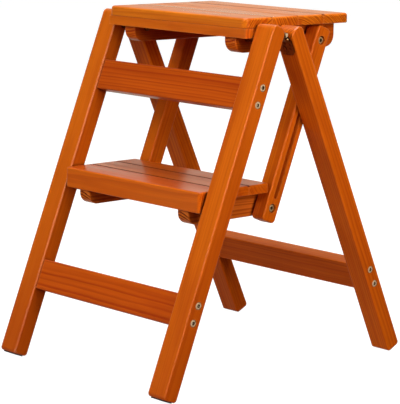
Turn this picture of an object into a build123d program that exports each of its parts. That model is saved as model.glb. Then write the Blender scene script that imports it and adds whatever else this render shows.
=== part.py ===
from build123d import *
import os
from math import acos, atan2, cos, degrees, hypot, radians, sin, tan

# Folding wooden step stool with two steps, in millimetres and degrees.
# X runs along the steps, Y from the front to the back and Z up. The origin is the middle of the
# footprint on the floor.

# Legs and frames
FRAME_WIDTH = 354.0
LEG_WIDTH = 34.0
LEG_DEPTH = 24.5
LEG_TOP_BELOW_SEAT = 9.5
FRONT_LEAN = 21.6
REAR_LEAN = 25.3
LEG_EDGE = 2.5
LEG_FOOT_ROUND = 5.0
LEG_TOP_ROUND = 8.0
LEG_HINGE_ROUND = 11.0

# Rails between the legs, placed by their distance from the leg's top or up from its lower end
RAIL_HEIGHT = 44.5
RAIL_INSET = 3.0
RAIL_EDGE = 2.0
UPPER_RAIL_FROM_TOP = 100.0
LOWER_RAIL_AT = 121.0
REAR_RAIL_AT = 128.0

# Hex socket screws and cross nuts that hold the rails
RAIL_SCREW_SPACING = 24.5
RAIL_SCREW_DIAMETER = 6.0
RAIL_SCREW_LENGTH = 62.0
RAIL_SCREW_HEAD = 10.0
RAIL_SCREW_HEAD_HEIGHT = 3.0
RAIL_SCREW_SOCKET = 5.0
BARREL_NUT_DIAMETER = 10.0
BARREL_NUT_COVER = 4.0
BARREL_NUT_FROM_TIP = 8.0

# Foot pads
PAD_THICKNESS = 1.5
PAD_INSET = 4.5

# Butt hinges at the leg tops
HINGE_OFFSET = 6.0
HINGE_DROP_FRONT = 6.6
HINGE_DROP_REAR = 1.0
HINGE_INSET = 4.0
HINGE_LEAF_LENGTH = 34.0
HINGE_LEAF_THICKNESS = 1.8
HINGE_LEAF_ROUND = 8.0
HINGE_KNUCKLE_RADIUS = 3.8
HINGE_END_KNUCKLE = 8.0
HINGE_PIN_DIAMETER = 4.0
HINGE_PIN_HEAD = 5.6
HINGE_PIN_HEAD_HEIGHT = 1.0
HINGE_SCREW_DIAMETER = 3.4
HINGE_SCREW_LENGTH = 15.0
HINGE_SCREW_HEAD = 6.0
HINGE_SCREW_HEAD_HEIGHT = 1.2
HINGE_SCREW_FIRST = 11.0
HINGE_SCREW_PITCH = 13.5
HINGE_SCREW_OFFSET = 3.0
HINGE_SCREW_STAGGER = 5.0

# Seat, the upper step
SEAT_HEIGHT = 504.0
SEAT_SIDE_GAP = 2.0
SEAT_DEPTH = 208.0
SEAT_NOSE_REACH = 31.0
SEAT_CORNER = 9.0
SEAT_REAR_CORNER = 5.0
SEAT_ROUND = 4.0
APRON_SETBACK = 0.5
APRON_HEIGHT = 13.5
APRON_THICKNESS = 16.0
APRON_EDGE = 0.6

# Lower step
STEP_HEIGHT = 273.0
STEP_SIDE_GAP = 2.0
STEP_FRONT_BOARD = 48.0
STEP_MIDDLE_SLAT = 47.0
STEP_LINK_GAP = 2.8
STEP_CORNER = 5.0
STEP_ROUND = 2.5
STEP_LIP_HEIGHT = 29.0
STEP_LIP_THICKNESS = 14.0

# Slats and the bearers under them
SLAT_THICKNESS = 14.0
SLAT_UNDER_EDGE = 1.5
SLAT_GROOVE_HALF = 1.1
SLAT_GROOVE_DEPTH = 1.6
BEARER_DEPTH = 36.0
BEARER_THICKNESS = 22.0
BEARER_ROUND_SHARE = 0.76
BEARER_EDGE = 1.5
BEARER_REAR_TOP = 3.0
SEAT_BEARER_SETBACK = 8.0
SEAT_BEARER_SHORT = 1.0
STEP_BEARER_SETBACK = 5.0
STEP_BEARER_TAIL = 20.0

# Pivots of the steps on the front legs, hidden behind the apron and the lip
PIVOT_BELOW_TOP = 30.0
PIVOT_BEHIND_MIDDLE = 6.0
PIVOT_DIAMETER = 6.0
PIVOT_HEAD = 9.0
PIVOT_HEAD_HEIGHT = 3.0
PIVOT_SOCKET = 4.0
PIVOT_BITE = 16.0
PIVOT_SLEEVE_DIAMETER = 9.0
PIVOT_COVER_GAP = 1.5

# Link bars with a blind slot in the outer face
LINK_WIDTH = 26.0
LINK_THICKNESS = 23.0
LINK_SIDE_GAP = 2.5
LINK_END = 20.0
LINK_CORNER = 6.0
LINK_EDGE = 2.5
LINK_WASHER_THICKNESS = 2.5
LINK_WASHER_DIAMETER = 18.0
LINK_BOLT_FROM_BACK = 54.5
LINK_BOLT_DROP = 7.0
LINK_BOLT_DIAMETER = 8.0
LINK_BOLT_SOCKET = 5.0
LINK_BOLT_HEAD = 10.4
LINK_BOLT_HEAD_HEIGHT = 4.0
LINK_COUNTERBORE = 13.0
LINK_COUNTERBORE_DEPTH = 6.0
LINK_NUT_FLATS = 13.0
LINK_NUT_HEIGHT = 6.0
SLOT_WIDTH = 7.0
SLOT_DEPTH = 11.0
GUIDE_PIN_COLLAR = 12.0
GUIDE_PIN_COLLAR_HEIGHT = 1.2

# Screws from below that hold the slats
SLAT_SCREW_DIAMETER = 4.0
SLAT_SCREW_BITE = 9.0
SLAT_SCREW_HEAD = 8.0
SLAT_SCREW_HEAD_HEIGHT = 2.5
SLAT_SCREW_GRIP = 14.0

# Clearances
FASTENER_CLEARANCE = 0.05
RUNNING_CLEARANCE = 0.06
FACE_GAP = 0.25
SLIDE_GAP = 0.3
HEAD_GAP = 0.3
HOLE_SPARE = 1.0


# Shape helpers

def profile_bar(corners, x_from, x_to, edge=0.0):
    """A bar along X. Each corner of its section is (y, z, rounding)."""
    section = make_face(Polyline([(y, z) for y, z, _ in corners], close=True))
    for y, z, rounding in corners:
        if rounding > 0:
            corner = section.vertices().sort_by_distance((y, z, 0))[0]
            section = fillet(corner, rounding)
    bar = extrude(Plane.YZ.offset(x_from) * section, amount=x_to - x_from)
    if edge > 0:
        end_faces = bar.faces().sort_by(Axis.X)
        bar = fillet(end_faces[0].edges() + end_faces[-1].edges(), edge)
    return bar


def rectangle_bar(y_from, y_to, z_from, z_to, x_from, x_to, corner, edge):
    """A bar along X with a rounded rectangular section."""
    corners = [(y_from, z_from, corner), (y_to, z_from, corner), (y_to, z_to, corner), (y_from, z_to, corner)]
    return profile_bar(corners, x_from, x_to, edge)


def rod(diameter, x_from, x_to, y, z):
    """A round rod along X."""
    place = Pos((x_from + x_to) / 2, y, z) * Rot(0, 90, 0)
    return place * Cylinder(diameter / 2, abs(x_to - x_from))


def hex_rod(flats, x_from, x_to, y, z):
    """A six-sided rod along X, sized across its flats."""
    outline = RegularPolygon(flats / 2, 6, major_radius=False)
    place = Pos(min(x_from, x_to), y, z) * Rot(0, 90, 0)
    return place * extrude(outline, amount=abs(x_to - x_from))


def tube(outer, inner, x_from, x_to, y, z):
    """A round tube along X."""
    return rod(outer, x_from, x_to, y, z) - rod(inner, x_from, x_to, y, z)


def post(diameter, x, y, z_from, z_to):
    """A round rod along Z."""
    return Pos(x, y, (z_from + z_to) / 2) * Cylinder(diameter / 2, z_to - z_from)


def dowel(diameter, x, z, y_from, y_to):
    """A round rod along Y."""
    return Pos(x, (y_from + y_to) / 2, z) * Rot(90, 0, 0) * Cylinder(diameter / 2, y_to - y_from)


def socket_bolt(diameter, head, head_height, socket, x_tip, x_under_head, y, z):
    """A bolt along X with a hex socket in its head, whose underside is at x_under_head."""
    outward = 1 if x_under_head > x_tip else -1
    x_top = x_under_head + outward * head_height
    cap = rod(head, x_under_head, x_top, y, z)
    top_face = cap.faces().sort_by(Axis.X)[-1 if outward > 0 else 0]
    cap = fillet(top_face.edges(), head_height / 4)
    bolt = cap + rod(diameter, x_tip, x_under_head, y, z)
    return bolt - hex_rod(socket, x_top - outward * head_height * 0.6, x_top, y, z)


def both_sides(right_piece):
    """The right-hand piece and its mirror image on the left."""
    return [right_piece, mirror(right_piece, Plane.YZ)]


# Places worked out from the driving dimensions

LEG_OUTER_X = FRAME_WIDTH / 2
LEG_INNER_X = LEG_OUTER_X - LEG_WIDTH
LEG_MIDDLE_X = LEG_OUTER_X - LEG_WIDTH / 2
HALF_DEPTH = LEG_DEPTH / 2
RAIL_THICKNESS = LEG_DEPTH - 2 * RAIL_INSET
HINGE_REACH = HALF_DEPTH + HINGE_OFFSET


def foot_height(lean):
    """Height of the middle of a leg's lower end when its pad or its rounded corner is on the floor."""
    slope = radians(lean)
    pad_corner = (HALF_DEPTH - PAD_INSET) * sin(slope) + PAD_THICKNESS * cos(slope)
    leg_corner = (HALF_DEPTH - LEG_FOOT_ROUND) * sin(slope) + LEG_FOOT_ROUND * (1 - cos(slope))
    return max(pad_corner, leg_corner)


# A leaning frame's own Z runs up its legs from the middle of their lower ends, and its Y runs back.
front_lean = radians(FRONT_LEAN)
rear_lean = radians(REAR_LEAN)
FRONT_FOOT_Z = foot_height(FRONT_LEAN)
REAR_FOOT_Z = foot_height(REAR_LEAN)
FRONT = Pos(0, 0, FRONT_FOOT_Z) * Rot(-FRONT_LEAN, 0, 0)
FRONT_LEG_LENGTH = (SEAT_HEIGHT - LEG_TOP_BELOW_SEAT - FRONT_FOOT_Z) / cos(front_lean)
UPPER_RAIL_AT = FRONT_LEG_LENGTH - UPPER_RAIL_FROM_TOP


def front_place(y, z):
    """Y and Z in the room of a point given in the front frame's own Y and Z."""
    return (y * cos(front_lean) + z * sin(front_lean),
            FRONT_FOOT_Z - y * sin(front_lean) + z * cos(front_lean))


FRONT_HINGE_UP = FRONT_LEG_LENGTH - HINGE_DROP_FRONT
HINGE_Y, HINGE_Z = front_place(HINGE_REACH, FRONT_HINGE_UP)
REAR_HINGE_UP = (HINGE_Z - REAR_FOOT_Z + HINGE_REACH * sin(rear_lean)) / cos(rear_lean)
REAR_LEG_LENGTH = REAR_HINGE_UP + HINGE_DROP_REAR
REAR_FOOT_Y = HINGE_Y + HINGE_REACH * cos(rear_lean) + REAR_HINGE_UP * sin(rear_lean)
REAR = Pos(0, REAR_FOOT_Y, REAR_FOOT_Z) * Rot(REAR_LEAN, 0, 0)

# Side to side, from the legs inwards: link bar, washer, bearer
LINK_OUTER_X = LEG_INNER_X - LINK_SIDE_GAP
LINK_INNER_X = LINK_OUTER_X - LINK_THICKNESS
BEARER_OUTER_X = LINK_INNER_X - LINK_WASHER_THICKNESS
BEARER_INNER_X = BEARER_OUTER_X - BEARER_THICKNESS
BEARER_MIDDLE_X = (BEARER_INNER_X + BEARER_OUTER_X) / 2

# The lower step's pivots stand just behind its lip, and the link bolts further back.
STEP_NOSE_REACH = STEP_LIP_THICKNESS + PIVOT_COVER_GAP + PIVOT_SLEEVE_DIAMETER / 2
LINK_BOLT_BACK = SEAT_DEPTH - SEAT_NOSE_REACH - LINK_BOLT_FROM_BACK


def pivot_on_leg(step_height):
    """Distance up the front leg, Y and Z of the pivot of a step whose top is at step_height."""
    z = step_height - PIVOT_BELOW_TOP
    up = (z - FRONT_FOOT_Z + PIVOT_BEHIND_MIDDLE * sin(front_lean)) / cos(front_lean)
    y, _ = front_place(PIVOT_BEHIND_MIDDLE, up)
    return up, y, z


SEAT_PIVOT_UP, SEAT_PIVOT_Y, SEAT_PIVOT_Z = pivot_on_leg(SEAT_HEIGHT)
STEP_PIVOT_UP, STEP_PIVOT_Y, STEP_PIVOT_Z = pivot_on_leg(STEP_HEIGHT)
SEAT_LINK_Y = SEAT_PIVOT_Y + LINK_BOLT_BACK
SEAT_LINK_Z = SEAT_PIVOT_Z - LINK_BOLT_DROP
STEP_LINK_Y = STEP_PIVOT_Y + LINK_BOLT_BACK
STEP_LINK_Z = STEP_PIVOT_Z - LINK_BOLT_DROP
LINK_LENGTH = SEAT_PIVOT_UP - STEP_PIVOT_UP
LINK = Pos(0, STEP_LINK_Y, STEP_LINK_Z) * Rot(-FRONT_LEAN, 0, 0)

# The stool is folded when the rear legs lie parallel to the front legs. The guide pins then stand twice
# the hinge reach behind the middle of the front legs, and the link bars have come in to meet them.
# Angles of the link bolts about the step pivots are taken from the front frame's own Y.
CLOSING_ANGLE = FRONT_LEAN + REAR_LEAN
LINK_ARM = hypot(LINK_BOLT_BACK, LINK_BOLT_DROP)
OPEN_ARM_ANGLE = FRONT_LEAN - degrees(atan2(LINK_BOLT_DROP, LINK_BOLT_BACK))
FOLDED_ARM_ANGLE = degrees(acos((2 * HINGE_REACH - PIVOT_BEHIND_MIDDLE) / LINK_ARM))
FOLD_ANGLE = FOLDED_ARM_ANGLE - OPEN_ARM_ANGLE

# At rest the guide pins stand where the middle lines of the link bars and the rear legs cross.
rear_floor_y = REAR_FOOT_Y + REAR_FOOT_Z * tan(rear_lean)
link_floor_y = STEP_LINK_Y - STEP_LINK_Z * tan(front_lean)
PIN_Z = (rear_floor_y - link_floor_y) / (tan(front_lean) + tan(rear_lean))
PIN_UP_LINK = (PIN_Z - STEP_LINK_Z) / cos(front_lean)
PIN_BELOW_HINGE = REAR_HINGE_UP - (PIN_Z - REAR_FOOT_Z) / cos(rear_lean)
FOLDED_LINK_FOOT_UP = STEP_PIVOT_UP + LINK_ARM * sin(radians(FOLDED_ARM_ANGLE))
FOLDED_PIN_UP_LINK = FRONT_HINGE_UP - PIN_BELOW_HINGE - FOLDED_LINK_FOOT_UP
PIN_TRAVEL = PIN_UP_LINK - FOLDED_PIN_UP_LINK


# Frames

def make_leg(length, hinge_side):
    """A right-hand leg in its frame's own axes. hinge_side is +1 when the hinge is on its rear face."""
    front_top = LEG_TOP_ROUND if hinge_side > 0 else LEG_HINGE_ROUND
    rear_top = LEG_HINGE_ROUND if hinge_side > 0 else LEG_TOP_ROUND
    corners = [(-HALF_DEPTH, 0, LEG_FOOT_ROUND), (HALF_DEPTH, 0, LEG_FOOT_ROUND),
               (HALF_DEPTH, length, rear_top), (-HALF_DEPTH, length, front_top)]
    return profile_bar(corners, LEG_INNER_X, LEG_OUTER_X, LEG_EDGE)


def rail_screw_heights(rail_at):
    return [rail_at - RAIL_SCREW_SPACING / 2, rail_at + RAIL_SCREW_SPACING / 2]


RAIL_SCREW_SEAT_X = LEG_OUTER_X - RAIL_SCREW_HEAD_HEIGHT
RAIL_SCREW_TIP_X = RAIL_SCREW_SEAT_X - RAIL_SCREW_LENGTH
BARREL_NUT_X = RAIL_SCREW_TIP_X + BARREL_NUT_FROM_TIP
BARREL_NUT_Y_FROM = BARREL_NUT_COVER - RAIL_THICKNESS / 2
RAIL_SCREW_HOLE = RAIL_SCREW_DIAMETER + 2 * FASTENER_CLEARANCE


def drill_leg_for_rail(leg, rail_at):
    for z in rail_screw_heights(rail_at):
        leg -= rod(RAIL_SCREW_HOLE, LEG_INNER_X, LEG_OUTER_X, 0, z)
        leg -= rod(RAIL_SCREW_HEAD + 2 * HEAD_GAP, RAIL_SCREW_SEAT_X, LEG_OUTER_X, 0, z)
    return leg


def make_rail(rail_at):
    """A rail between the legs with its screw holes and the holes of its cross nuts."""
    rail = rectangle_bar(-RAIL_THICKNESS / 2, RAIL_THICKNESS / 2, rail_at - RAIL_HEIGHT / 2,
                         rail_at + RAIL_HEIGHT / 2, -LEG_INNER_X, LEG_INNER_X, RAIL_EDGE, 0)
    for z in rail_screw_heights(rail_at):
        screw_hole = rod(RAIL_SCREW_HOLE, RAIL_SCREW_TIP_X - HOLE_SPARE, LEG_INNER_X, 0, z)
        nut_hole = dowel(BARREL_NUT_DIAMETER + 2 * FASTENER_CLEARANCE, BARREL_NUT_X, z,
                         BARREL_NUT_Y_FROM, RAIL_THICKNESS / 2)
        for hole in both_sides(screw_hole) + both_sides(nut_hole):
            rail -= hole
    return rail


def make_rail_screws(rail_at):
    screws = []
    for z in rail_screw_heights(rail_at):
        screws += both_sides(socket_bolt(RAIL_SCREW_DIAMETER, RAIL_SCREW_HEAD, RAIL_SCREW_HEAD_HEIGHT,
                                         RAIL_SCREW_SOCKET, RAIL_SCREW_TIP_X, RAIL_SCREW_SEAT_X, 0, z))
    return screws


def make_barrel_nuts(rail_at):
    nuts = []
    for z in rail_screw_heights(rail_at):
        nut = dowel(BARREL_NUT_DIAMETER, BARREL_NUT_X, z, BARREL_NUT_Y_FROM, RAIL_THICKNESS / 2)
        nut -= rod(RAIL_SCREW_HOLE, BARREL_NUT_X - BARREL_NUT_DIAMETER,
                   BARREL_NUT_X + BARREL_NUT_DIAMETER, 0, z)
        nuts += both_sides(nut)
    return nuts


def make_foot_pad():
    """A thin pad under the right-hand leg, in from the leg's edges."""
    return rectangle_bar(-HALF_DEPTH + PAD_INSET, HALF_DEPTH - PAD_INSET, -PAD_THICKNESS, 0,
                         LEG_INNER_X + PAD_INSET, LEG_OUTER_X - PAD_INSET, 0, 0)


# Hinges on the right-hand side. A leaf lies on its leg's rear face when away is 1, on its front face when -1.

HINGE_INNER_X = LEG_INNER_X + HINGE_INSET
HINGE_OUTER_X = LEG_OUTER_X - HINGE_INSET
INNER_JOINT_X = HINGE_INNER_X + HINGE_END_KNUCKLE
OUTER_JOINT_X = HINGE_OUTER_X - HINGE_END_KNUCKLE
END_KNUCKLES = [(HINGE_INNER_X, INNER_JOINT_X), (OUTER_JOINT_X, HINGE_OUTER_X)]
MIDDLE_KNUCKLE = [(INNER_JOINT_X + FACE_GAP, OUTER_JOINT_X - FACE_GAP)]
HINGE_SCREW_HOLE = HINGE_SCREW_DIAMETER + 2 * FASTENER_CLEARANCE


def hinge_screw_places(hinge_up):
    """X and Z of the two screws of a leaf."""
    middle_x = LEG_MIDDLE_X + HINGE_SCREW_OFFSET
    first = hinge_up - HINGE_SCREW_FIRST
    return [(middle_x + HINGE_SCREW_STAGGER, first),
            (middle_x - HINGE_SCREW_STAGGER, first - HINGE_SCREW_PITCH)]


def make_hinge_leaf(hinge_up, leg_length, away, knuckles, bore):
    """A leaf on the right-hand leg: a plate with a rounded lower end, webs and knuckles."""
    face_y = away * HALF_DEPTH
    plate_y = away * (HALF_DEPTH + HINGE_LEAF_THICKNESS)
    axis_y = away * HINGE_REACH
    leaf_low = hinge_up - HINGE_LEAF_LENGTH
    leaf_top = min(leg_length - LEG_HINGE_ROUND, hinge_up) - HINGE_LEAF_THICKNESS
    outline = Rectangle(HINGE_OUTER_X - HINGE_INNER_X, leaf_top - leaf_low)
    outline = fillet(outline.vertices().sort_by(Axis.Y)[:2], HINGE_LEAF_ROUND)
    leaf_plane = Plane((LEG_MIDDLE_X, face_y, (leaf_low + leaf_top) / 2), x_dir=(1, 0, 0), z_dir=(0, -1, 0))
    leaf = extrude(leaf_plane * outline, amount=-away * HINGE_LEAF_THICKNESS)
    web_low = leaf_top - HINGE_LEAF_THICKNESS
    web_corners = [(face_y, web_low), (plate_y, web_low), (axis_y, hinge_up - HINGE_LEAF_THICKNESS),
                   (axis_y, hinge_up), (face_y, leaf_top)]
    web = make_face(Polyline(web_corners, close=True))
    for x_from, x_to in knuckles:
        leaf += extrude(Plane.YZ.offset(x_from) * web, amount=x_to - x_from)
        leaf += rod(2 * HINGE_KNUCKLE_RADIUS, x_from, x_to, axis_y, hinge_up)
    leaf -= rod(bore, HINGE_INNER_X, HINGE_OUTER_X, axis_y, hinge_up)
    for x, z in hinge_screw_places(hinge_up):
        leaf -= dowel(HINGE_SCREW_HOLE, x, z, -HINGE_REACH, HINGE_REACH)
    return leaf


def drill_leg_for_hinge(leg, hinge_up, away):
    """Blind holes for the screws of a leaf."""
    hole_floor = HALF_DEPTH + HINGE_LEAF_THICKNESS - HINGE_SCREW_LENGTH - HOLE_SPARE
    for x, z in hinge_screw_places(hinge_up):
        leg -= dowel(HINGE_SCREW_HOLE, x, z, *sorted([away * hole_floor, away * HALF_DEPTH]))
    return leg


def make_hinge_screws(hinge_up, away):
    screws = []
    head_seat = HALF_DEPTH + HINGE_LEAF_THICKNESS
    for x, z in hinge_screw_places(hinge_up):
        shank_ends = sorted([away * (head_seat - HINGE_SCREW_LENGTH), away * head_seat])
        head_ends = sorted([away * head_seat, away * (head_seat + HINGE_SCREW_HEAD_HEIGHT)])
        screw = dowel(HINGE_SCREW_DIAMETER, x, z, *shank_ends) + dowel(HINGE_SCREW_HEAD, x, z, *head_ends)
        screws += both_sides(screw)
    return screws


def make_hinge_pin():
    y, z = HINGE_REACH, FRONT_HINGE_UP
    pin = rod(HINGE_PIN_DIAMETER, HINGE_INNER_X, HINGE_OUTER_X, y, z)
    pin += rod(HINGE_PIN_HEAD, HINGE_INNER_X - HINGE_PIN_HEAD_HEIGHT, HINGE_INNER_X, y, z)
    pin += rod(HINGE_PIN_HEAD, HINGE_OUTER_X, HINGE_OUTER_X + HINGE_PIN_HEAD_HEIGHT, y, z)
    return pin


# Pivots on the front legs

def make_pivot_bolt(y, z):
    """A bolt from inside the bearer into the right-hand front leg."""
    return socket_bolt(PIVOT_DIAMETER, PIVOT_HEAD, PIVOT_HEAD_HEIGHT, PIVOT_SOCKET,
                       LEG_INNER_X + PIVOT_BITE, BEARER_INNER_X - FACE_GAP, y, z)


def make_pivot_sleeve(y, z):
    """A sleeve that keeps the bearer its distance from the leg."""
    return tube(PIVOT_SLEEVE_DIAMETER, PIVOT_DIAMETER + 2 * FASTENER_CLEARANCE,
                BEARER_OUTER_X + FACE_GAP, LEG_INNER_X, y, z)


# Steps

SLAT_SCREW_HOLE = SLAT_SCREW_DIAMETER + 2 * FASTENER_CLEARANCE


def edges_away_from(edges, rows, margin):
    """The edges whose middles are not within the margin of any of the given Ys."""
    return [edge for edge in edges if all(abs(edge.center().Y - y) > margin for y in rows)]


def make_slat(y_from, y_to, top, length, rounding, front_corner=0.0, rear_corner=0.0, lip=0.0):
    """A board of a step. A side with no corner radius meets the next board at a groove, and a lip hangs
    from the front side by the given drop."""
    middle_y = (y_from + y_to) / 2
    slat = Pos(0, middle_y, top - SLAT_THICKNESS / 2) * Box(length, y_to - y_from, SLAT_THICKNESS)
    under_joints = []
    if lip > 0:
        lip_middle = Pos(0, y_from + STEP_LIP_THICKNESS / 2, top - SLAT_THICKNESS - lip / 2)
        slat += lip_middle * Box(length, STEP_LIP_THICKNESS, lip)
        under_joints.append(y_from + STEP_LIP_THICKNESS)
    joints = []
    for y, corner in ((y_from, front_corner), (y_to, rear_corner)):
        if corner > 0:
            upright = [edge for edge in slat.edges().filter_by(Axis.Z) if abs(edge.center().Y - y) < FACE_GAP]
            slat = fillet(upright, corner)
        else:
            joints.append(y)
    for y in joints:
        slat -= Pos(0, y, top) * Box(length, 2 * SLAT_GROOVE_HALF, 2 * SLAT_GROOVE_DEPTH)
    top_edges = slat.faces().sort_by(Axis.Z)[-1].edges()
    slat = fillet(edges_away_from(top_edges, joints, SLAT_GROOVE_HALF + FACE_GAP), rounding)
    under_edges = slat.faces().sort_by(Axis.Z)[0].edges()
    return fillet(edges_away_from(under_edges, joints + under_joints, FACE_GAP), SLAT_UNDER_EDGE)


def make_bearer(y_front, y_rear, top, notch_depth, notch_height):
    """A right-hand bearer with rounded lower corners and a notch in front for the apron or the lip."""
    bottom = top - BEARER_DEPTH
    notch_rear = y_front + notch_depth
    notch_floor = top - notch_height
    round_corner = BEARER_ROUND_SHARE * (notch_floor - bottom)
    corners = [(y_front, bottom, round_corner), (y_rear, bottom, round_corner),
               (y_rear, top, BEARER_REAR_TOP), (notch_rear, top, 0),
               (notch_rear, notch_floor, 0), (y_front, notch_floor, 0)]
    bearer = profile_bar(corners, BEARER_INNER_X, BEARER_OUTER_X)
    sides = bearer.faces().sort_by(Axis.X)
    open_edges = [edge for edge in sides[0].edges() + sides[-1].edges()
                  if top - edge.center().Z > FACE_GAP
                  and (edge.center().Y > notch_rear + FACE_GAP or edge.center().Z < notch_floor - FACE_GAP)]
    return fillet(open_edges, BEARER_EDGE)


def drill_bearer(bearer, pivot, link_bolt, screw_ys, top):
    """The pivot bore, the link bolt's hole and the counterbored holes of the slat screws."""
    bearer -= rod(PIVOT_DIAMETER + 2 * RUNNING_CLEARANCE, BEARER_INNER_X, BEARER_OUTER_X, *pivot)
    bearer -= rod(LINK_BOLT_DIAMETER + 2 * FASTENER_CLEARANCE, BEARER_INNER_X, BEARER_OUTER_X, *link_bolt)
    head_seat = top - SLAT_SCREW_GRIP
    for y in screw_ys:
        bearer -= post(SLAT_SCREW_HOLE, BEARER_MIDDLE_X, y, head_seat, top)
        bearer -= post(SLAT_SCREW_HEAD + 2 * HEAD_GAP, BEARER_MIDDLE_X, y, top - BEARER_DEPTH, head_seat)
    return bearer


def make_slat_screws(screw_ys, top):
    head_seat = top - SLAT_SCREW_GRIP
    screws = []
    for y in screw_ys:
        screw = post(SLAT_SCREW_DIAMETER, BEARER_MIDDLE_X, y, head_seat, top + SLAT_SCREW_BITE)
        screw += post(SLAT_SCREW_HEAD, BEARER_MIDDLE_X, y, head_seat - SLAT_SCREW_HEAD_HEIGHT, head_seat)
        screws += both_sides(screw)
    return screws


def drill_slat(slat, screw_y, bottom):
    """Blind holes for the screws that come up through both bearers."""
    hole = post(SLAT_SCREW_HOLE, BEARER_MIDDLE_X, screw_y, bottom, bottom + SLAT_SCREW_BITE + HOLE_SPARE)
    for side in both_sides(hole):
        slat -= side
    return slat


LINK_BOLT_SEAT_X = LINK_OUTER_X - LINK_COUNTERBORE_DEPTH + FACE_GAP
LINK_NUT_X = BEARER_INNER_X - LINK_NUT_HEIGHT


def make_link_bolt(y, z):
    return socket_bolt(LINK_BOLT_DIAMETER, LINK_BOLT_HEAD, LINK_BOLT_HEAD_HEIGHT, LINK_BOLT_SOCKET,
                       LINK_NUT_X - HOLE_SPARE, LINK_BOLT_SEAT_X, y, z)


def make_link_nut(y, z):
    nut = hex_rod(LINK_NUT_FLATS, LINK_NUT_X, BEARER_INNER_X, y, z)
    return nut - rod(LINK_BOLT_DIAMETER + 2 * FASTENER_CLEARANCE, LINK_NUT_X, BEARER_INNER_X, y, z)


def make_link_washer(y, z):
    return tube(LINK_WASHER_DIAMETER, LINK_BOLT_DIAMETER + 2 * FASTENER_CLEARANCE,
                BEARER_OUTER_X, LINK_INNER_X - FACE_GAP, y, z)


# Links

def make_link_bar():
    """The right-hand link bar in its own axes, with Z up the bar from its lower pivot."""
    half = LINK_WIDTH / 2
    bar = rectangle_bar(-half, half, -LINK_END, LINK_LENGTH + LINK_END, LINK_INNER_X, LINK_OUTER_X,
                        LINK_CORNER, LINK_EDGE)
    for z in (0, LINK_LENGTH):
        bar -= rod(LINK_BOLT_DIAMETER + 2 * RUNNING_CLEARANCE, LINK_INNER_X, LINK_OUTER_X, 0, z)
        bar -= rod(LINK_COUNTERBORE, LINK_OUTER_X - LINK_COUNTERBORE_DEPTH, LINK_OUTER_X, 0, z)
    slot_floor = LINK_OUTER_X - SLOT_DEPTH
    middle = (PIN_UP_LINK + FOLDED_PIN_UP_LINK) / 2
    slot = Pos(slot_floor + SLOT_DEPTH / 2, 0, middle) * Box(SLOT_DEPTH, SLOT_WIDTH, PIN_TRAVEL)
    for z in (PIN_UP_LINK, FOLDED_PIN_UP_LINK):
        slot += rod(SLOT_WIDTH, slot_floor, LINK_OUTER_X, 0, z)
    return bar - slot


def make_guide_pin():
    """A pin in the right-hand link's slot, with a collar beside the rear leg."""
    tip = LINK_OUTER_X - SLOT_DEPTH + FACE_GAP
    end = LEG_INNER_X - SLIDE_GAP
    pin = rod(SLOT_WIDTH - 2 * SLIDE_GAP, tip, end, 0, PIN_UP_LINK)
    return pin + rod(GUIDE_PIN_COLLAR, end - GUIDE_PIN_COLLAR_HEIGHT, end, 0, PIN_UP_LINK)


pieces = {}


def add_pair(name, right_piece, place=Pos(0, 0, 0)):
    """Keep a piece and its mirror image as two nodes."""
    right, left = both_sides(right_piece)
    pieces[name + "_left"] = place * left
    pieces[name + "_right"] = place * right


def add_group(name, solids, place=Pos(0, 0, 0)):
    """Keep identical small pieces together as one node of separate solids."""
    pieces[name] = Compound([place * solid for solid in solids])


# Front frame

front_leg = make_leg(FRONT_LEG_LENGTH, hinge_side=1)
for rail_at in (UPPER_RAIL_AT, LOWER_RAIL_AT):
    front_leg = drill_leg_for_rail(front_leg, rail_at)
for up in (SEAT_PIVOT_UP, STEP_PIVOT_UP):
    front_leg -= rod(PIVOT_DIAMETER + 2 * FASTENER_CLEARANCE, LEG_INNER_X,
                     LEG_INNER_X + PIVOT_BITE + HOLE_SPARE, PIVOT_BEHIND_MIDDLE, up)
front_leg = drill_leg_for_hinge(front_leg, FRONT_HINGE_UP, 1)
add_pair("front_leg", front_leg, FRONT)
pieces["front_upper_rail"] = FRONT * make_rail(UPPER_RAIL_AT)
pieces["front_lower_rail"] = FRONT * make_rail(LOWER_RAIL_AT)
add_group("front_rail_screws", make_rail_screws(UPPER_RAIL_AT) + make_rail_screws(LOWER_RAIL_AT), FRONT)
add_group("front_barrel_nuts", make_barrel_nuts(UPPER_RAIL_AT) + make_barrel_nuts(LOWER_RAIL_AT), FRONT)
add_pair("front_foot_pad", make_foot_pad(), FRONT)

front_leaf = make_hinge_leaf(FRONT_HINGE_UP, FRONT_LEG_LENGTH, 1, END_KNUCKLES,
                             HINGE_PIN_DIAMETER + 2 * FASTENER_CLEARANCE)
add_pair("hinge_leaf_front", front_leaf, FRONT)
add_group("hinge_pins", both_sides(make_hinge_pin()), FRONT)
add_group("hinge_screws_front", make_hinge_screws(FRONT_HINGE_UP, 1), FRONT)

for name, y, z in (("seat", SEAT_PIVOT_Y, SEAT_PIVOT_Z), ("step", STEP_PIVOT_Y, STEP_PIVOT_Z)):
    add_group(name + "_pivot_bolts", both_sides(make_pivot_bolt(y, z)))
    add_group(name + "_pivot_sleeves", both_sides(make_pivot_sleeve(y, z)))

# Seat

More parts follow.
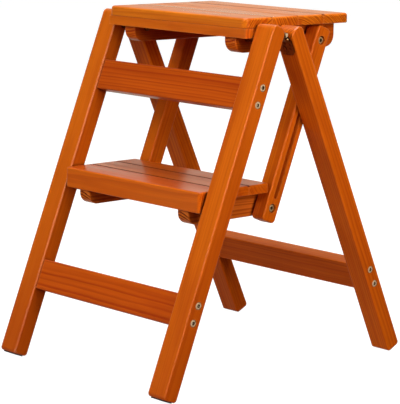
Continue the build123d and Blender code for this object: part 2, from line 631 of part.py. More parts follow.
seat_front = SEAT_PIVOT_Y - SEAT_NOSE_REACH
seat_rear = seat_front + SEAT_DEPTH
seat_under = SEAT_HEIGHT - SLAT_THICKNESS
seat_length = 2 * (LEG_INNER_X - SEAT_SIDE_GAP)
slat_depth = SEAT_DEPTH / 4
seat_joints = [seat_front + slat_depth * number for number in range(5)]
seat_screws = [(front + rear) / 2 for front, rear in zip(seat_joints, seat_joints[1:])]
seat_screws[0] = seat_joints[1] - SLAT_SCREW_HEAD
front_slat = make_slat(seat_joints[0], seat_joints[1], SEAT_HEIGHT, seat_length, SEAT_ROUND,
                       front_corner=SEAT_CORNER)
pieces["seat_front_slat"] = drill_slat(front_slat, seat_screws[0], seat_under)
second_slat = make_slat(seat_joints[1], seat_joints[2], SEAT_HEIGHT, seat_length, SEAT_ROUND)
pieces["seat_second_slat"] = drill_slat(second_slat, seat_screws[1], seat_under)
third_slat = make_slat(seat_joints[2], seat_joints[3], SEAT_HEIGHT, seat_length, SEAT_ROUND)
pieces["seat_third_slat"] = drill_slat(third_slat, seat_screws[2], seat_under)
rear_slat = make_slat(seat_joints[3], seat_joints[4], SEAT_HEIGHT, seat_length, SEAT_ROUND,
                      rear_corner=SEAT_REAR_CORNER)
pieces["seat_rear_slat"] = drill_slat(rear_slat, seat_screws[3], seat_under)

apron_front = seat_front + APRON_SETBACK
apron_rear = apron_front + APRON_THICKNESS
pieces["seat_apron"] = rectangle_bar(apron_front, apron_rear, seat_under - APRON_HEIGHT, seat_under,
                                     -seat_length / 2, seat_length / 2, APRON_EDGE, APRON_EDGE)
seat_bearer_front = seat_front + SEAT_BEARER_SETBACK
seat_bearer = make_bearer(seat_bearer_front, seat_rear - SEAT_BEARER_SHORT, seat_under,
                          apron_rear - seat_bearer_front, APRON_HEIGHT)
seat_bearer = drill_bearer(seat_bearer, (SEAT_PIVOT_Y, SEAT_PIVOT_Z), (SEAT_LINK_Y, SEAT_LINK_Z),
                           seat_screws, seat_under)
add_pair("seat_bearer", seat_bearer)
add_group("seat_slat_screws", make_slat_screws(seat_screws, seat_under))

# Lower step

step_front = STEP_PIVOT_Y - STEP_NOSE_REACH
step_under = STEP_HEIGHT - SLAT_THICKNESS
step_length = 2 * (LEG_INNER_X - STEP_SIDE_GAP)
link_front = STEP_LINK_Y + (step_under - STEP_LINK_Z) * tan(front_lean) - LINK_WIDTH / 2 / cos(front_lean)
step_joints = [step_front, step_front + STEP_FRONT_BOARD, step_front + STEP_FRONT_BOARD + STEP_MIDDLE_SLAT,
               link_front - STEP_LINK_GAP]
step_screws = [(front + rear) / 2 for front, rear in zip(step_joints, step_joints[1:])]
step_screws[0] = step_joints[1] - SLAT_SCREW_HEAD
lip_drop = STEP_LIP_HEIGHT - SLAT_THICKNESS
front_board = make_slat(step_joints[0], step_joints[1], STEP_HEIGHT, step_length, STEP_ROUND,
                        front_corner=STEP_CORNER, lip=lip_drop)
pieces["step_front_board"] = drill_slat(front_board, step_screws[0], step_under)
middle_slat = make_slat(step_joints[1], step_joints[2], STEP_HEIGHT, step_length, STEP_ROUND)
pieces["step_middle_slat"] = drill_slat(middle_slat, step_screws[1], step_under)
rear_slat = make_slat(step_joints[2], step_joints[3], STEP_HEIGHT, step_length, STEP_ROUND,
                      rear_corner=STEP_CORNER)
pieces["step_rear_slat"] = drill_slat(rear_slat, step_screws[2], step_under)

step_bearer_front = step_front + STEP_BEARER_SETBACK
step_bearer = make_bearer(step_bearer_front, STEP_LINK_Y + STEP_BEARER_TAIL, step_under,
                          step_front + STEP_LIP_THICKNESS - step_bearer_front, lip_drop)
step_bearer = drill_bearer(step_bearer, (STEP_PIVOT_Y, STEP_PIVOT_Z), (STEP_LINK_Y, STEP_LINK_Z),
                           step_screws, step_under)
add_pair("step_bearer", step_bearer)
add_group("step_slat_screws", make_slat_screws(step_screws, step_under))

# Bolts that carry the link bars

for name, y, z in (("seat", SEAT_LINK_Y, SEAT_LINK_Z), ("step", STEP_LINK_Y, STEP_LINK_Z)):
    add_group(name + "_link_bolts", both_sides(make_link_bolt(y, z)))
    add_group(name + "_link_washers", both_sides(make_link_washer(y, z)))
    add_group(name + "_link_nuts", both_sides(make_link_nut(y, z)))

add_pair("link_bar", make_link_bar(), LINK)
add_pair("guide_pin", make_guide_pin(), LINK)

# Rear frame

rear_leg = drill_leg_for_rail(make_leg(REAR_LEG_LENGTH, hinge_side=-1), REAR_RAIL_AT)
rear_leg = drill_leg_for_hinge(rear_leg, REAR_HINGE_UP, -1)
add_pair("rear_leg", rear_leg, REAR)
pieces["rear_rail"] = REAR * make_rail(REAR_RAIL_AT)
add_group("rear_rail_screws", make_rail_screws(REAR_RAIL_AT), REAR)
add_group("rear_barrel_nuts", make_barrel_nuts(REAR_RAIL_AT), REAR)
add_pair("rear_foot_pad", make_foot_pad(), REAR)
rear_leaf = make_hinge_leaf(REAR_HINGE_UP, REAR_LEG_LENGTH, -1, MIDDLE_KNUCKLE,
                            HINGE_PIN_DIAMETER + 2 * RUNNING_CLEARANCE)
add_pair("hinge_leaf_rear", rear_leaf, REAR)
add_group("hinge_screws_rear", make_hinge_screws(REAR_HINGE_UP, -1), REAR)

# The origin goes to the middle of the footprint.

whole = Compound(list(pieces.values())).bounding_box()
ORIGIN_SHIFT = Pos(0, -(whole.min.Y + whole.max.Y) / 2, -whole.min.Z)
os.makedirs("parts", exist_ok=True)
for name, piece in pieces.items():
    export_step(ORIGIN_SHIFT * piece, "parts/" + name + ".step")
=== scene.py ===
"""The looks of a folding step stool in stained and varnished pine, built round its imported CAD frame."""

import math
import random

import bpy
from mathutils import Matrix, Vector


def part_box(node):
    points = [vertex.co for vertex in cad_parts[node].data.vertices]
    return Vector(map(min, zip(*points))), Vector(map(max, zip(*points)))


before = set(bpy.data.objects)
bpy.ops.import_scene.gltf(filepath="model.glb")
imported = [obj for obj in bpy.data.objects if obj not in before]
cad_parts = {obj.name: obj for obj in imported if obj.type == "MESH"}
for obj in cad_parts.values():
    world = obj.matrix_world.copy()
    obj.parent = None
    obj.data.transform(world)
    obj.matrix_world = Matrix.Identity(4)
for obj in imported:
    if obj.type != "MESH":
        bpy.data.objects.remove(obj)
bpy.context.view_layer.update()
scene = bpy.context.scene

# The photograph's frame and the camera that fits it, in metres and degrees
PHOTO_HEIGHT = 404
FOCAL_PIXELS = 1876.58
SENSOR = 36.0
CAMERA_AT = Vector((1.94117, -1.86519, 0.70093))
CAMERA_TURN = math.radians(46.29)
CAMERA_DIP = math.radians(10.03)
CAMERA_ROLL = math.radians(1.05)

# How the legs lean, and the grain directions that follow
FRONT_LEAN = math.radians(21.6)
REAR_LEAN = math.radians(25.3)
ACROSS = Vector((1, 0, 0))
DEPTH = Vector((0, 1, 0))
UP_FRONT_LEG = Vector((0, math.sin(FRONT_LEAN), math.cos(FRONT_LEAN)))
UP_REAR_LEG = Vector((0, -math.sin(REAR_LEAN), math.cos(REAR_LEAN)))

# The room: half its width, how brightly its floor and walls glow, and how much lamp light they send back
ROOM_HALF = 12.0
ROOM_GLOW = 0.98
ROOM_GREY = 0.15

# The world's warm wall: its strength, and how squarely it is faced from where it starts to its brightest
WALL_STRENGTH = 0.56
WALL_FACING = (0.1, 1.0)

# Where the lamps aim, and how far off and how wide a usual one is
LAMP_TARGET = Vector((0, 0, 0.25))
LAMP_DISTANCE = 2.4
LAMP_SIZE = 1.0

# Light colours: most lamps are white or warm, and light that the wood throws back on itself is red
WHITE = (1.0, 1.0, 1.0)
WARM = (1.0, 0.88, 0.72)
AMBER = (1.0, 0.72, 0.42)
ROSY = (1.0, 0.80, 0.68)
REDDISH = (1.0, 0.50, 0.30)

# How often the pine's figure repeats in a metre, along the grain and across it both ways
BEND_REPEATS = (2.2, 9.0, 9.0)
WOBBLE_REPEATS = (14.0, 60.0, 60.0)
FIBRE_REPEATS = (9.0, 620.0, 620.0)
STREAK_REPEATS = (1.6, 85.0, 85.0)
PATCH_REPEATS = (7.0, 30.0, 30.0)

# How far the rings wander from true circles, in metres
BEND_REACH = 0.012
WOBBLE_REACH = 0.0016

# One year's ring, as (share of the ring, darkness): slowly from early to late wood, and a sharp end
SEASONS = [(0.0, 0.15), (0.12, 0.0), (0.42, 0.14), (0.76, 0.9), (0.93, 1.0), (1.0, 0.15)]

# How the years differ: how far the rings drift, in rings, how often in a ring, and the palest late wood
RING_DRIFT = 2.2
DRIFT_REPEATS = 0.35
PALEST_YEAR = 0.45

# How much more the rings show on end grain, how far patches go dark, and the fibres' dark and light shades
END_GRAIN_BOOST = 1.8
PATCH_DARKNESS = 0.25
FIBRE_SHADES = (0.93, 1.05)

# The wood's least and greatest roughness, and the varnish's greatest and least share of a board's own
WOOD_ROUGHNESS = (0.36, 0.50)
VARNISH_SHARES = (1.2, 0.7)

# How squarely a face cuts the grain, from long grain to end grain
END_FACING = (0.72, 0.95)

# How far from the pith a board may be cut and where along the trunk, in metres
PITH_DISTANCES = (0.045, 0.09)
TRUNK_PLACES = (-2, 2)

# How open a place is, 0 to 1: from deep in a crevice to clear of it, and from an edge to the flat beside it
CREVICE_OPENNESS = (0.35, 0.92)
EDGE_OPENNESS = (0.40, 0.85)

# How squarely a face looks up, from where a tread's painted shade or a joint's line begins to where it is
# full
TREAD_SHADE_FACING = (0.6, 0.95)
JOINT_FACING = (0.2, 0.7)

# How far from a slat's edge its joint's line is still full, and where it ends, in metres
JOINT_LINE = (0.00135, 0.0045)

# How often the marks on metal and rubber repeat in a metre
DULL_REPEATS = (220.0, 220.0, 220.0)
SCRATCH_REPEATS = (300.0, 2400.0, 2400.0)
GRIT_REPEATS = (1800.0, 1800.0, 1800.0)
DUST_REPEATS = (90.0, 90.0, 90.0)

# How far the fine relief rises, in metres, and the shares of the grain's that late wood and fibres take
GRAIN_RELIEF = 0.0004
LATE_RISE = 0.6
FIBRE_RISE = 0.5
RUBBER_RELIEF = 0.0003
SCRATCH_RELIEF = 0.0001


# Camera, floor and light

def aim_camera():
    """Put the camera where the photograph was taken from."""
    forward = Vector((-math.sin(CAMERA_TURN) * math.cos(CAMERA_DIP),
                      math.cos(CAMERA_TURN) * math.cos(CAMERA_DIP),
                      -math.sin(CAMERA_DIP)))
    level = Vector((math.cos(CAMERA_TURN), math.sin(CAMERA_TURN), 0))
    upright = level.cross(forward)
    right = level * math.cos(CAMERA_ROLL) + upright * math.sin(CAMERA_ROLL)
    up = upright * math.cos(CAMERA_ROLL) - level * math.sin(CAMERA_ROLL)
    camera = bpy.data.objects.new("camera", bpy.data.cameras.new("camera"))
    scene.collection.objects.link(camera)
    turn = Matrix((right, up, -forward)).transposed().to_4x4()
    camera.matrix_world = Matrix.Translation(CAMERA_AT) @ turn
    camera.data.sensor_width = SENSOR
    camera.data.lens = SENSOR * FOCAL_PIXELS / PHOTO_HEIGHT
    scene.camera = camera


def soft_box(name, azimuth, elevation, power, color=WHITE, distance=LAMP_DISTANCE, size=LAMP_SIZE,
             height=None, gloss=True, diffuse=True):
    """A flat lamp aimed at the stool, square unless it has a height; azimuth 0 is in front, 90 right."""
    turn = math.radians(azimuth)
    rise = math.radians(elevation)
    back = Vector((math.sin(turn) * math.cos(rise), -math.cos(turn) * math.cos(rise), math.sin(rise)))
    data = bpy.data.lights.new(name, "AREA")
    data.shape = "RECTANGLE"
    data.size = size
    data.size_y = height or size
    data.energy = power
    data.color = color
    lamp = bpy.data.objects.new(name, data)
    scene.collection.objects.link(lamp)
    lamp.location = LAMP_TARGET + back * distance
    lamp.rotation_mode = "QUATERNION"
    lamp.rotation_quaternion = (-back).to_track_quat("-Z", "Y")
    lamp.visible_camera = False
    lamp.visible_glossy = gloss
    lamp.visible_diffuse = diffuse
    return lamp


def keep_off(lamp, nodes):
    """Keep a lamp's light off these CAD nodes."""
    spared = bpy.data.collections.new(lamp.name + "_spares")
    for node in nodes:
        spared.objects.link(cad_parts[node])
    for entry in spared.collection_objects:
        entry.light_linking.link_state = "EXCLUDE"
    lamp.light_linking.receiver_collection = spared


def lay_floor():
    """A wide floor and far walls that glow white, so shadows stay faint; they shed no light on the wood."""
    corners = [(-1, -1), (1, -1), (1, 1), (-1, 1)]
    points = [(x * ROOM_HALF, y * ROOM_HALF, z * ROOM_HALF) for z in (0, 1) for x, y in corners]
    walls = [(n, (n + 1) % 4, (n + 1) % 4 + 4, n + 4) for n in range(4)]
    mesh = bpy.data.meshes.new("floor")
    mesh.from_pydata(points, [], [(0, 1, 2, 3)] + walls)
    floor = bpy.data.objects.new("floor", mesh)
    scene.collection.objects.link(floor)
    material, nodes, shader = new_material("floor")
    nodes.feed(shader, {"Base Color": (ROOM_GREY, ROOM_GREY, ROOM_GREY, 1), "Roughness": 0.9,
                        "Specular IOR Level": 0.1, "Emission Color": (*WHITE, 1),
                        "Emission Strength": ROOM_GLOW})
    mesh.materials.append(material)
    floor.visible_diffuse = False
    floor.visible_glossy = False
    floor.visible_shadow = False


def light_world():
    """A warm wall across from the camera's place, which fades towards the sides."""
    world = bpy.data.worlds.new("studio")
    world.use_nodes = True
    nodes = Nodes(world.node_tree)
    towards = nodes.add("ShaderNodeTexCoord", {}).outputs["Generated"]
    behind = (-math.sin(CAMERA_TURN), math.cos(CAMERA_TURN), 0)
    strength = nodes.span(nodes.dot(towards, behind), *WALL_FACING, 0.0, WALL_STRENGTH)
    nodes.feed(world.node_tree.nodes["Background"], {"Color": (*WARM, 1), "Strength": strength})
    scene.world = world


# Shader nodes

def linear(red, green, blue):
    """A colour as seen on screen, 0 to 255, in the linear values that shaders take."""
    def channel(value):
        share = value / 255
        return share / 12.92 if share <= 0.04045 else ((share + 0.055) / 1.055) ** 2.4
    return (channel(red), channel(green), channel(blue), 1)


class Nodes:
    """Adds nodes to one tree; an input is given as a value or as the socket that feeds it."""

    def __init__(self, tree):
        self.tree = tree

    def feed(self, node, inputs):
        for key, value in inputs.items():
            if isinstance(value, bpy.types.NodeSocket):
                self.tree.links.new(value, node.inputs[key])
            else:
                node.inputs[key].default_value = value

    def add(self, kind, inputs, **settings):
        node = self.tree.nodes.new(kind)
        for name, value in settings.items():
            setattr(node, name, value)
        self.feed(node, inputs)
        return node

    def math(self, operation, first, second=0.0, third=0.0):
        inputs = {0: first, 1: second, 2: third}
        return self.add("ShaderNodeMath", inputs, operation=operation).outputs[0]

    def vector(self, operation, first, second):
        return self.add("ShaderNodeVectorMath", {0: first, 1: second}, operation=operation).outputs[0]

    def dot(self, first, second):
        node = self.add("ShaderNodeVectorMath", {0: first, 1: second}, operation="DOT_PRODUCT")
        return node.outputs["Value"]

    def axis(self, vector, letter):
        return self.add("ShaderNodeSeparateXYZ", {0: vector}).outputs[letter]

    def noise(self, point, repeats, detail=2.0, roughness=0.5):
        """Noise that repeats this often in a metre along each axis."""
        inputs = {"Vector": self.vector("MULTIPLY", point, repeats), "Scale": 1.0, "Detail": detail,
                  "Roughness": roughness}
        return self.add("ShaderNodeTexNoise", inputs)

    def wander(self, point, repeats, reach):
        """A shift across the grain that changes smoothly from place to place."""
        color = self.noise(point, repeats).outputs["Color"]
        return self.vector("MULTIPLY", self.vector("SUBTRACT", color, (0.5, 0.5, 0.5)), (0, reach, reach))

    def mix(self, share, first, second, blend="MIX"):
        inputs = {0: share, 6: first, 7: second}
        return self.add("ShaderNodeMix", inputs, data_type="RGBA", blend_type=blend).outputs[2]

    def ramp(self, value, stops):
        """A smooth curve through (position, height) stops."""
        node = self.add("ShaderNodeValToRGB", {0: value})
        node.color_ramp.interpolation = "EASE"
        elements = node.color_ramp.elements
        while len(elements) < len(stops):
            elements.new(0.5)
        for element, (position, height) in zip(elements, stops):
            element.position = position
            element.color = (height, height, height, 1)
        return node.outputs[0]

    def span(self, value, low, high, to_low=0.0, to_high=1.0):
        """value from low to high, as to_low to to_high, smoothly and no further."""
        inputs = {"Value": value, "From Min": low, "From Max": high, "To Min": to_low, "To Max": to_high}
        return self.add("ShaderNodeMapRange", inputs, interpolation_type="SMOOTHSTEP").outputs[0]

    def bump(self, height, strength, relief):
        inputs = {"Height": height, "Strength": strength, "Distance": relief}
        return self.add("ShaderNodeBump", inputs).outputs["Normal"]


def new_group(name, inputs, outputs):
    """A node group with these (name, socket type) sockets; gives its tree, input node and output node."""
    group = bpy.data.node_groups.new(name, "ShaderNodeTree")
    for direction, sockets in (("INPUT", inputs), ("OUTPUT", outputs)):
        for socket_name, kind in sockets:
            group.interface.new_socket(socket_name, in_out=direction, socket_type="NodeSocket" + kind)
    return group, group.nodes.new("NodeGroupInput"), group.nodes.new("NodeGroupOutput")


def new_material(name):
    """A material with one shader; gives the material, its node maker and the shader."""
    material = bpy.data.materials.new(name)
    material.use_nodes = True
    return material, Nodes(material.node_tree), material.node_tree.nodes["Principled BSDF"]


def dress(node, material):
    """Give a CAD node this material all over."""
    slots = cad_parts[node].data.materials
    slots.clear()
    slots.append(material)


# Painted shade, edge wear with painted highlight, and joint lines, which any material may have

def paint_crevice_shade(nodes, color, dark, most, reach=0.006):
    """Darken the color with painted shade in grooves, joints and other crevices."""
    outward = nodes.add("ShaderNodeAmbientOcclusion", {"Distance": reach}, samples=8)
    return nodes.mix(nodes.span(outward.outputs["AO"], *CREVICE_OPENNESS, most, 0.0), color, dark)


def wear_and_highlight_edges(nodes, color, worn_and_highlight_color, most, reach=0.004):
    """Lighten the color along outer edges, partly wear from hands and sanding and partly painted highlight.
    """
    inward = nodes.add("ShaderNodeAmbientOcclusion", {"Distance": reach}, samples=8, inside=True)
    return nodes.mix(nodes.span(inward.outputs["AO"], *EDGE_OPENNESS, most, 0.0), color, worn_and_highlight_color)


def paint_tread_shade(nodes, place, color, dark, most):
    """Darken the color on top with painted shade."""
    up = nodes.axis(place.outputs["Normal"], "Z")
    return nodes.mix(nodes.span(up, *TREAD_SHADE_FACING, 0.0, most), color, dark)


def paint_foot_shade(nodes, place, color, dark, most, foot=0.02, reach=0.26):
    """Darken the color towards the floor with painted shade."""
    height = nodes.axis(place.outputs["Object"], "Z")
    return nodes.mix(nodes.span(height, foot, reach, most, 0.0), color, dark)


def line_joints(nodes, place, edges, most):
    """The dark lines on top along a slat's long edges, at these depths, where it meets its neighbours."""
    depth = nodes.axis(place.outputs["Object"], "Y")
    up = nodes.axis(place.outputs["Normal"], "Z")
    line = 0.0
    for edge in edges:
        away = nodes.math("ABSOLUTE", nodes.math("SUBTRACT", depth, edge))
        line = nodes.math("MAXIMUM", nodes.span(away, *JOINT_LINE, most, 0.0), line)
    return nodes.math("MULTIPLY", nodes.span(up, *JOINT_FACING), line)


# Wood

def make_pine():
    """Pine under stain, worked out from a point in metres: x runs with the grain and the pith lies on x."""
    group, given, result = new_group(
        "stained_pine",
        [("Point", "Vector"), ("End", "Float"), ("Early", "Color"), ("Late", "Color"), ("Deep", "Color"),
         ("Ring size", "Float"), ("Ring strength", "Float"), ("Streaks", "Float")],
        [("Color", "Color"), ("Height", "Float"), ("Roughness", "Float"), ("Varnish", "Float")])
    nodes = Nodes(group)
    point = given.outputs["Point"]

    # The trunk isn't quite straight or round, so the rings wander along and around it
    bent = nodes.vector("ADD", point, nodes.wander(point, BEND_REPEATS, BEND_REACH))
    bent = nodes.vector("ADD", bent, nodes.wander(point, WOBBLE_REPEATS, WOBBLE_REACH))
    around = nodes.vector("MULTIPLY", bent, (0, 1, 1))
    radius = nodes.add("ShaderNodeVectorMath", {0: around}, operation="LENGTH").outputs["Value"]

    # The years' rings differ in width and in how dark their late wood is
    rings = nodes.math("DIVIDE", radius, given.outputs["Ring size"])
    widths = nodes.add("ShaderNodeTexNoise", {"W": rings, "Scale": DRIFT_REPEATS, "Detail": 1.0},
                       noise_dimensions="1D")
    years = nodes.math("MULTIPLY_ADD", widths.outputs["Fac"], RING_DRIFT, rings)
    season = nodes.ramp(nodes.math("FRACT", years), SEASONS)
    year = nodes.add("ShaderNodeTexWhiteNoise", {"W": nodes.math("FLOOR", years)}, noise_dimensions="1D")
    late = nodes.math("MULTIPLY", season, nodes.span(year.outputs["Value"], 0.0, 1.0, PALEST_YEAR, 1.0))

    # Fibres are fine streaks along the grain, and patches take more or less of the stain
    fibre = nodes.noise(bent, FIBRE_REPEATS, detail=3.0, roughness=0.6).outputs["Fac"]
    streak = nodes.noise(bent, STREAK_REPEATS, roughness=0.55).outputs["Fac"]
    patch = nodes.noise(point, PATCH_REPEATS).outputs["Fac"]

    # On end grain the rings stand out most, because the late wood drinks the stain there
    end = given.outputs["End"]
    strength = nodes.math("MULTIPLY", nodes.span(end, 0.0, 1.0, 1.0, END_GRAIN_BOOST),
                          given.outputs["Ring strength"])
    dark = nodes.mix(end, given.outputs["Late"], given.outputs["Deep"])
    color = nodes.mix(nodes.math("MULTIPLY", late, strength), given.outputs["Early"], dark)
    soaked = nodes.math("MULTIPLY", nodes.span(streak, 0.45, 0.70), given.outputs["Streaks"])
    color = nodes.mix(soaked, color, given.outputs["Late"])
    stained = nodes.span(patch, 0.45, 0.75, 0.0, PATCH_DARKNESS)
    color = nodes.mix(stained, color, given.outputs["Deep"])
    shade = nodes.span(fibre, 0.25, 0.75, *FIBRE_SHADES)
    grey = nodes.add("ShaderNodeCombineXYZ", {0: shade, 1: shade, 2: shade}).outputs[0]
    color = nodes.mix(1.0, color, grey, "MULTIPLY")

    # Late wood and fibres stand up a little, and the varnish lies thinner on streaks and thirsty patches
    height = nodes.math("MULTIPLY_ADD", late, LATE_RISE, nodes.math("MULTIPLY", fibre, FIBRE_RISE))
    rough = nodes.span(nodes.math("ADD", fibre, patch), 0.6, 1.4, *WOOD_ROUGHNESS)
    varnish = nodes.math("MULTIPLY", nodes.span(patch, 0.36, 0.62, *VARNISH_SHARES),
                         nodes.span(streak, 0.38, 0.66, *VARNISH_SHARES))
    nodes.feed(result, {"Color": color, "Height": height, "Roughness": rough, "Varnish": varnish})
    return group


PINE = make_pine()

# Painted shade in crevices, stain in the joints between slats, edges worn thin and painted with highlight,
# and a bright painted highlight along an edge
CREVICE_SHADE_COLOR = linear(70, 22, 6)
JOINT = linear(92, 30, 8)
WORN_AND_HIGHLIGHT = linear(252, 178, 104)
PAINTED_EDGE_HIGHLIGHT = linear(255, 232, 200)

# Early wood, late wood and the deepest the stain gets, by tone, as seen on screen
TONES = {
    "straw": ((220, 122, 20), (192, 84, 10), (150, 56, 6)),
    "honey": ((214, 108, 14), (184, 74, 8), (150, 52, 6)),
    "amber": ((210, 102, 12), (178, 68, 8), (160, 52, 6)),
    "russet": ((205, 101, 14), (173, 69, 9), (150, 48, 6)),
    "figured": ((212, 114, 34), (140, 50, 8), (88, 28, 6)),
    "rust": ((192, 84, 12), (158, 54, 8), (138, 42, 6)),
}


def cut_from_trunk(node, grain, pith):
    """The turn and shift from a board's place on the stool to its place in the trunk, drawn by its name."""
    draw = random.Random(node)
    low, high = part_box(node)
    side = DEPTH if grain == ACROSS else ACROSS
    turn = Matrix((grain, side, grain.cross(side)))
    if pith is None:
        angle = draw.uniform(0, 2 * math.pi)
        distance = draw.uniform(*PITH_DISTANCES)
        pith = (distance * math.cos(angle), distance * math.sin(angle))
    shift = Vector((draw.uniform(*TRUNK_PLACES), *pith)) - turn @ ((low + high) / 2)
    return turn, shift


def figure(nodes, place, node, grain, colors, ring_size, rings, pith, streaks):
    """The pine's figure on one board."""
    turn, shift = cut_from_trunk(node, grain, pith)
    point = nodes.add("ShaderNodeMapping", {"Vector": place.outputs["Object"], "Location": shift,
                                            "Rotation": turn.to_euler("XYZ")}).outputs[0]
    facing = nodes.math("ABSOLUTE", nodes.dot(place.outputs["Normal"], grain))
    early, late, deep = colors
    inputs = {"Point": point, "End": nodes.span(facing, *END_FACING), "Early": early, "Late": late,
              "Deep": deep, "Ring size": ring_size, "Ring strength": rings, "Streaks": streaks}
    return nodes.add("ShaderNodeGroup", inputs, node_tree=PINE)


def wood(node, grain, tone, rings, ring_size=0.0042, pith=None, streaks=0.5, varnish=0.8, crevice=0.85,
         wear_and_highlight=0.15, worn_and_highlight_color=WORN_AND_HIGHLIGHT, tread_shade=0.0, foot=0.0, meets=(), joint=0.8):
    """Give one board its own cut of varnished pine.

    The cut: the grain's direction, a tone, how strongly the rings show, the width of a ring, where the pith
    lay beside the board (drawn if not given) and how strongly the stain streaks. The finish: how glossy the
    varnish is; how far the color goes dark with painted shade in crevices, on a tread's top and at a leg's
    foot; and how far it goes pale along edges, partly wear and partly painted highlight, and in which color.
    meets names the long edges, front or rear, that touch a neighbour, and joint says how dark the lines
    there are.
    """
    material, nodes, shader = new_material("wood_" + node)
    place = nodes.add("ShaderNodeTexCoord", {})
    colors = [linear(*color) for color in TONES[tone]]
    deep = colors[2]
    pine = figure(nodes, place, node, grain, colors, ring_size, rings, pith, streaks)
    coat = nodes.math("MULTIPLY", pine.outputs["Varnish"], varnish)
    # Pale edges, part wear and part painted highlight; painted shade in crevices, on a tread's top and at a
    # leg's foot
    color = wear_and_highlight_edges(nodes, pine.outputs["Color"], worn_and_highlight_color, wear_and_highlight)
    color = paint_crevice_shade(nodes, color, CREVICE_SHADE_COLOR, crevice)
    if tread_shade:
        color = paint_tread_shade(nodes, place, color, deep, tread_shade)
    if foot:
        color = paint_foot_shade(nodes, place, color, deep, foot)
    if meets:
        low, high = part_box(node)
        depths = {"front": low.y, "rear": high.y}
        line = line_joints(nodes, place, [depths[edge] for edge in meets], joint)
        color = nodes.mix(line, color, JOINT)
        coat = nodes.math("MULTIPLY", coat, nodes.math("SUBTRACT", 1.0, line))
    height = pine.outputs["Height"]
    nodes.feed(shader, {"Base Color": color, "Roughness": pine.outputs["Roughness"],
                        "Normal": nodes.bump(height, strength=0.12, relief=GRAIN_RELIEF),
                        "IOR": 1.5, "Specular IOR Level": 0.10, "Coat Weight": coat, "Coat Roughness": 0.18,
                        "Coat Normal": nodes.bump(height, strength=0.2, relief=GRAIN_RELIEF)})
    dress(node, material)


# Metal and rubber

SOCKET_SHADE = linear(34, 24, 18)
CLEAN_RUBBER = linear(24, 22, 21)
DUSTY_RUBBER = linear(58, 54, 50)


def metal(name, bright, dark, roughness, metallic):
    """Plated metal with fine wear: patches of a duller tone and small scratches, and painted shade in its
    sockets.
    """
    material, nodes, shader = new_material(name)
    place = nodes.add("ShaderNodeTexCoord", {}).outputs["Object"]
    dull = nodes.noise(place, DULL_REPEATS, detail=3.0, roughness=0.6).outputs["Fac"]
    scratch = nodes.noise(place, SCRATCH_REPEATS).outputs["Fac"]
    color = nodes.mix(nodes.span(dull, 0.4, 0.7), linear(*bright), linear(*dark))
    # Painted shade darkens sockets and other recesses
    color = paint_crevice_shade(nodes, color, SOCKET_SHADE, most=1.0, reach=0.005)
    rough = nodes.span(nodes.math("ADD", dull, scratch), 0.7, 1.3, roughness - 0.06, roughness + 0.10)
    nodes.feed(shader, {"Base Color": color, "Roughness": rough, "Metallic": metallic,
                        "Normal": nodes.bump(scratch, strength=0.08, relief=SCRATCH_RELIEF)})
    return material


def rubber(name):
    """Black rubber with a fine matt grain and a little dust."""
    material, nodes, shader = new_material(name)
    place = nodes.add("ShaderNodeTexCoord", {}).outputs["Object"]
    grit = nodes.noise(place, GRIT_REPEATS, detail=3.0, roughness=0.6).outputs["Fac"]
    dust = nodes.noise(place, DUST_REPEATS, detail=3.0, roughness=0.6).outputs["Fac"]
    color = nodes.mix(nodes.span(dust, 0.45, 0.8), CLEAN_RUBBER, DUSTY_RUBBER)
    nodes.feed(shader, {"Base Color": color, "Roughness": nodes.span(grit, 0.3, 0.7, 0.7, 0.9),
                        "Normal": nodes.bump(grit, strength=0.3, relief=RUBBER_RELIEF)})
    return material


# The nodes, by what they are

SEAT_SLATS = ["seat_front_slat", "seat_second_slat", "seat_third_slat", "seat_rear_slat"]
STEP_BOARDS = ["step_front_board", "step_middle_slat", "step_rear_slat"]
LINK_BARS = ["link_bar_left", "link_bar_right"]
LINK_BOLTS = ["seat_link_bolts", "step_link_bolts"]
STEEL_NODES = ["front_rail_screws", "rear_rail_screws", "front_barrel_nuts", "rear_barrel_nuts",
               "seat_slat_screws", "step_slat_screws", "seat_link_washers", "seat_link_nuts",
               "step_link_washers", "step_link_nuts", "hinge_pins", "guide_pin_left", "guide_pin_right"]
BRASS_NODES = ["hinge_leaf_front_left", "hinge_leaf_front_right", "hinge_leaf_rear_left",
               "hinge_leaf_rear_right", "hinge_screws_front", "hinge_screws_rear", "seat_pivot_bolts",
               "seat_pivot_sleeves", "step_pivot_bolts", "step_pivot_sleeves"]
FOOT_PADS = ["front_foot_pad_left", "front_foot_pad_right", "rear_foot_pad_left", "rear_foot_pad_right"]

# The studio; the glint shows only in gloss, and stays off the treads and links, which would glare
aim_camera()
lay_floor()
light_world()
soft_box("key", azimuth=41, elevation=35, power=14, color=WARM, gloss=False)
soft_box("front", azimuth=4, elevation=26, power=23, gloss=False)
soft_box("front_low", azimuth=-30, elevation=-8, power=9, gloss=False)
soft_box("right", azimuth=87, elevation=20, power=13, color=ROSY, distance=1.5, size=0.5, gloss=False)
soft_box("top", azimuth=180, elevation=85, power=55)
soft_box("behind", azimuth=210, elevation=12, power=16, gloss=False)
soft_box("bounce", azimuth=30, elevation=-50, power=12, color=REDDISH, distance=1.8, size=2.0, gloss=False)
glint = soft_box("glint", azimuth=44, elevation=20, power=14, color=AMBER, size=0.5, height=1.2,
                 diffuse=False)
keep_off(glint, SEAT_SLATS + STEP_BOARDS + LINK_BARS)
scene.view_settings.view_transform = "Standard"
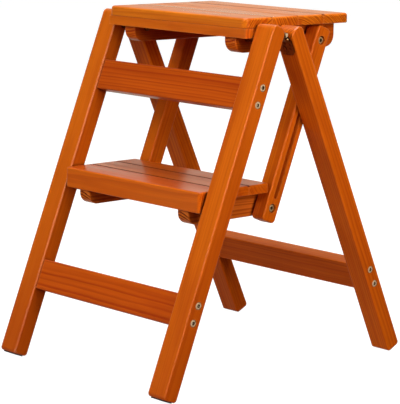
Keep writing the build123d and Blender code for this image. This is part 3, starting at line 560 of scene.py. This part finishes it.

# The frames and links
# The front legs' pale edges are partly wear and partly painted highlight, brightest on the left; feet get
# painted shade
wood("front_leg_left", UP_FRONT_LEG, "russet", rings=0.30, wear_and_highlight=1.0, worn_and_highlight_color=PAINTED_EDGE_HIGHLIGHT, foot=0.35)
wood("front_leg_right", UP_FRONT_LEG, "russet", rings=0.30, wear_and_highlight=0.3, foot=0.25)
wood("front_upper_rail", ACROSS, "rust", rings=0.9, ring_size=0.0055, pith=(0.05, 0.055))
wood("front_lower_rail", ACROSS, "rust", rings=0.9, ring_size=0.005, pith=(0.04, -0.06))
wood("rear_leg_left", UP_REAR_LEG, "honey", rings=0.7, foot=0.4)
wood("rear_leg_right", UP_REAR_LEG, "honey", rings=0.7)
wood("rear_rail", ACROSS, "russet", rings=0.6)
wood("link_bar_left", UP_FRONT_LEG, "russet", rings=0.5, crevice=0.1)
wood("link_bar_right", UP_FRONT_LEG, "honey", rings=0.5, crevice=0.1)

# The seat and the step
for side in ("left", "right"):
    wood("seat_bearer_" + side, DEPTH, "russet", rings=0.8, ring_size=0.0036, pith=(0.01, 0.05))
    wood("step_bearer_" + side, DEPTH, "figured", rings=0.8, ring_size=0.0045, pith=(0.012, -0.04))
wood("seat_apron", ACROSS, "honey", rings=0.4, crevice=0.2)
wood("seat_front_slat", ACROSS, "straw", rings=0.7, ring_size=0.0043, pith=(-0.05, 0.05), streaks=0.9,
     crevice=0.2, meets=["rear"], joint=0.3)
wood("seat_second_slat", ACROSS, "straw", rings=0.8, streaks=0.9, crevice=0.2, meets=["front", "rear"],
     joint=0.3)
wood("seat_third_slat", ACROSS, "straw", rings=0.7, ring_size=0.0034, pith=(0.03, 0.06), streaks=0.9,
     crevice=0.2, meets=["rear"], joint=0.95)
wood("seat_rear_slat", ACROSS, "straw", rings=0.8, ring_size=0.0027, pith=(0.045, 0.05), crevice=0.2,
     meets=["front"], joint=0.95)
# The front board's top gets painted shade, for the seat's shadow
wood("step_front_board", ACROSS, "amber", rings=0.5, varnish=0.72, tread_shade=0.6, meets=["rear"])
wood("step_middle_slat", ACROSS, "amber", rings=0.25, varnish=0.72, meets=["front", "rear"])
wood("step_rear_slat", ACROSS, "amber", rings=0.25, varnish=0.72, meets=["front"])

# The metal and rubber pieces
STEEL = metal("plated_steel", (240, 222, 188), (206, 186, 152), roughness=0.45, metallic=0.25)
DULL_STEEL = metal("dull_steel", (222, 194, 146), (160, 130, 88), roughness=0.45, metallic=0.3)
BRASS = metal("aged_brass", (150, 108, 62), (96, 62, 36), roughness=0.35, metallic=0.9)
RUBBER = rubber("foot_rubber")
for pieces, material in ((STEEL_NODES, STEEL), (LINK_BOLTS, DULL_STEEL), (BRASS_NODES, BRASS),
                         (FOOT_PADS, RUBBER)):
    for piece in pieces:
        dress(piece, material)
